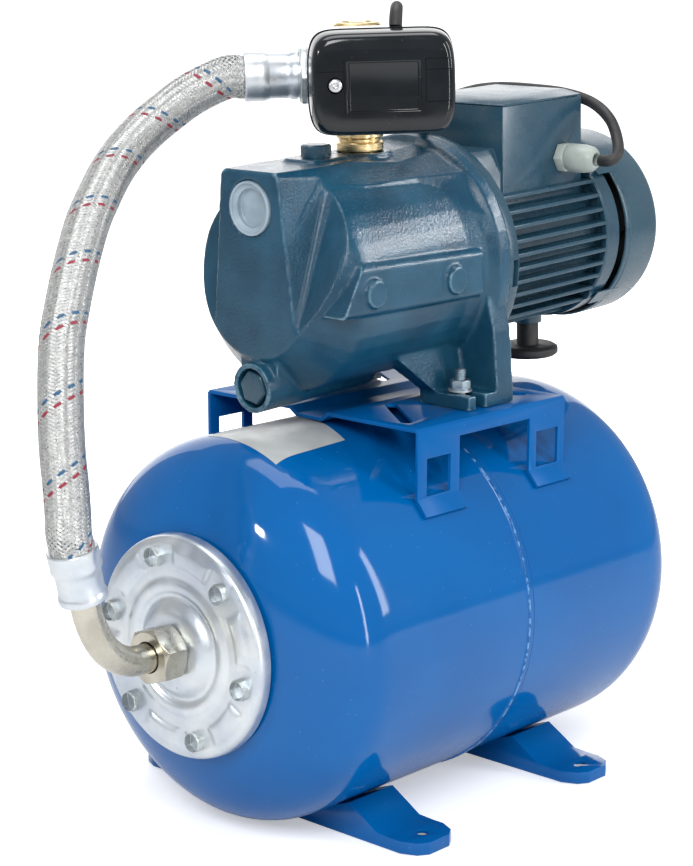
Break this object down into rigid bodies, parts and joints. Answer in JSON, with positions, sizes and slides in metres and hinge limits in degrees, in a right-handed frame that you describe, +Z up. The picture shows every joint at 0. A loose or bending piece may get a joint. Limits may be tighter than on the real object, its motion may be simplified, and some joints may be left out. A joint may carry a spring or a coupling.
{
  "type": "booster pump set",
  "caption": "Self-priming jet pump with motor on a horizontal membrane tank, with pressure switch, outlet fitting and braided hose to the tank flange.",
  "frame": {"origin": "on the floor, under the middle of the set's box measured without the hose and the motor lead", "axes": "+X along the tank from its water connection to its air valve, +Z up, -Y towards the side with the cable gland"},
  "size_m": [0.5528, 0.276, 0.5597],
  "materials": {
    "blue_paint": "high gloss stove enamel",
    "pump_paint": "gloss paint over a rough casting",
    "zinc": "bright zinc plating",
    "nickel": "nickel plating",
    "brass": "turned brass",
    "steel": "ground steel",
    "copper": "laminations and varnished copper windings, stood in for by one metal",
    "black_plastic": "gloss moulded plastic",
    "grey_plastic": "satin polyamide",
    "cap_plastic": "soft polyethylene",
    "black_rubber": "matt rubber",
    "braid": "woven stainless wire with coloured tracer threads"
  },
  "bodies": {
    "pump_set": {"tank_front_shell": "blue_paint", "tank_rear_shell": "blue_paint", "tank_neck_ring": "blue_paint", "front_foot": "blue_paint", "rear_foot": "blue_paint", "pump_bracket": "blue_paint", "pump_body": "pump_paint", "motor_bracket": "pump_paint", "motor_housing": "pump_paint", "end_shield": "pump_paint", "fan_cover": "pump_paint", "tank_flange": "zinc", "flange_bolt_1": "zinc", "flange_bolt_2": "zinc", "flange_bolt_3": "zinc", "flange_bolt_4": "zinc", "flange_bolt_5": "zinc", "flange_bolt_6": "zinc", "mount_bolt_left": "zinc", "mount_bolt_right": "zinc", "mount_nut_left": "zinc", "mount_nut_right": "zinc", "hose_top_ferrule": "zinc", "hose_bottom_ferrule": "zinc", "elbow_tube": "nickel", "air_valve": "brass", "jet_nozzle": "brass", "outlet_fitting": "brass", "switch_nipple": "brass", "front_bearing": "steel", "rear_bearing": "steel", "range_spring": "steel", "stator": "copper", "venturi_tube": "black_plastic", "diffuser": "black_plastic", "capacitor": "black_plastic", "switch_base": "black_plastic", "terminal_block": "grey_plastic", "gland_body": "grey_plastic", "gland_nut": "grey_plastic", "contact_block": "grey_plastic", "membrane": "black_rubber", "mechanical_seal": "black_rubber", "motor_foot": "black_rubber", "pressure_piston": "black_rubber", "motor_lead": "black_rubber", "hose": "braid"},
    "rotor_group": {"motor_shaft": "steel", "rotor": "copper", "impeller": "brass", "fan": "black_plastic"},
    "switch_cover": {"switch_cover": "black_plastic"},
    "cover_screw": {"cover_screw": "zinc"},
    "switch_rocker": {"switch_rocker": "zinc"},
    "priming_plug": {"priming_plug": "pump_paint"},
    "drain_plug": {"drain_plug": "pump_paint"},
    "suction_cap": {"suction_port_cap": "cap_plastic"},
    "air_valve_cap": {"air_valve_cap": "black_plastic"},
    "terminal_lid": {"terminal_box_lid": "pump_paint"},
    "union_nut": {"union_nut": "nickel"}
  },
  "joints": [
    {"name": "shaft_spin", "type": "hinge", "parent": "pump_set", "child": "rotor_group", "pos_m": [0.05764, 0, 0.3791], "axis": [0.999, 0, 0.0436], "continuous": true},
    {"name": "switch_cover_off", "type": "slide", "parent": "pump_set", "child": "switch_cover", "axis": [-0.6814, -0.7314, -0.0298], "range_m": [0, 0.06]},
    {"name": "cover_screw_turn", "type": "hinge", "parent": "switch_cover", "child": "cover_screw", "pos_m": [-0.06422, -0.04319, 0.50691], "axis": [-0.6814, -0.7314, -0.0298], "continuous": true},
    {"name": "rocker_tip", "type": "hinge", "parent": "pump_set", "child": "switch_rocker", "pos_m": [-0.00812, -0.06049, 0.49784], "axis": [-0.0436, 0, 0.999], "range_deg": [0, 2], "stiffness_Nm_per_rad": 0.5},
    {"name": "priming_plug_out", "type": "slide", "parent": "pump_set", "child": "priming_plug", "axis": [-0.0436, 0, 0.999], "range_m": [0, 0.01]},
    {"name": "drain_plug_out", "type": "slide", "parent": "pump_set", "child": "drain_plug", "axis": [-0.999, 0, -0.0436], "range_m": [0, 0.03]},
    {"name": "suction_cap_out", "type": "slide", "parent": "pump_set", "child": "suction_cap", "axis": [-0.999, 0, -0.0436], "range_m": [0, 0.04]},
    {"name": "air_valve_cap_off", "type": "slide", "parent": "pump_set", "child": "air_valve_cap", "axis": [1, 0, 0], "range_m": [0, 0.03]},
    {"name": "terminal_lid_off", "type": "slide", "parent": "pump_set", "child": "terminal_lid", "axis": [-0.0436, 0, 0.999], "range_m": [0, 0.05]},
    {"name": "union_nut_turn", "type": "hinge", "parent": "pump_set", "child": "union_nut", "pos_m": [-0.1979, 0, 0.139], "axis": [1, 0, 0], "continuous": true}
  ]
}
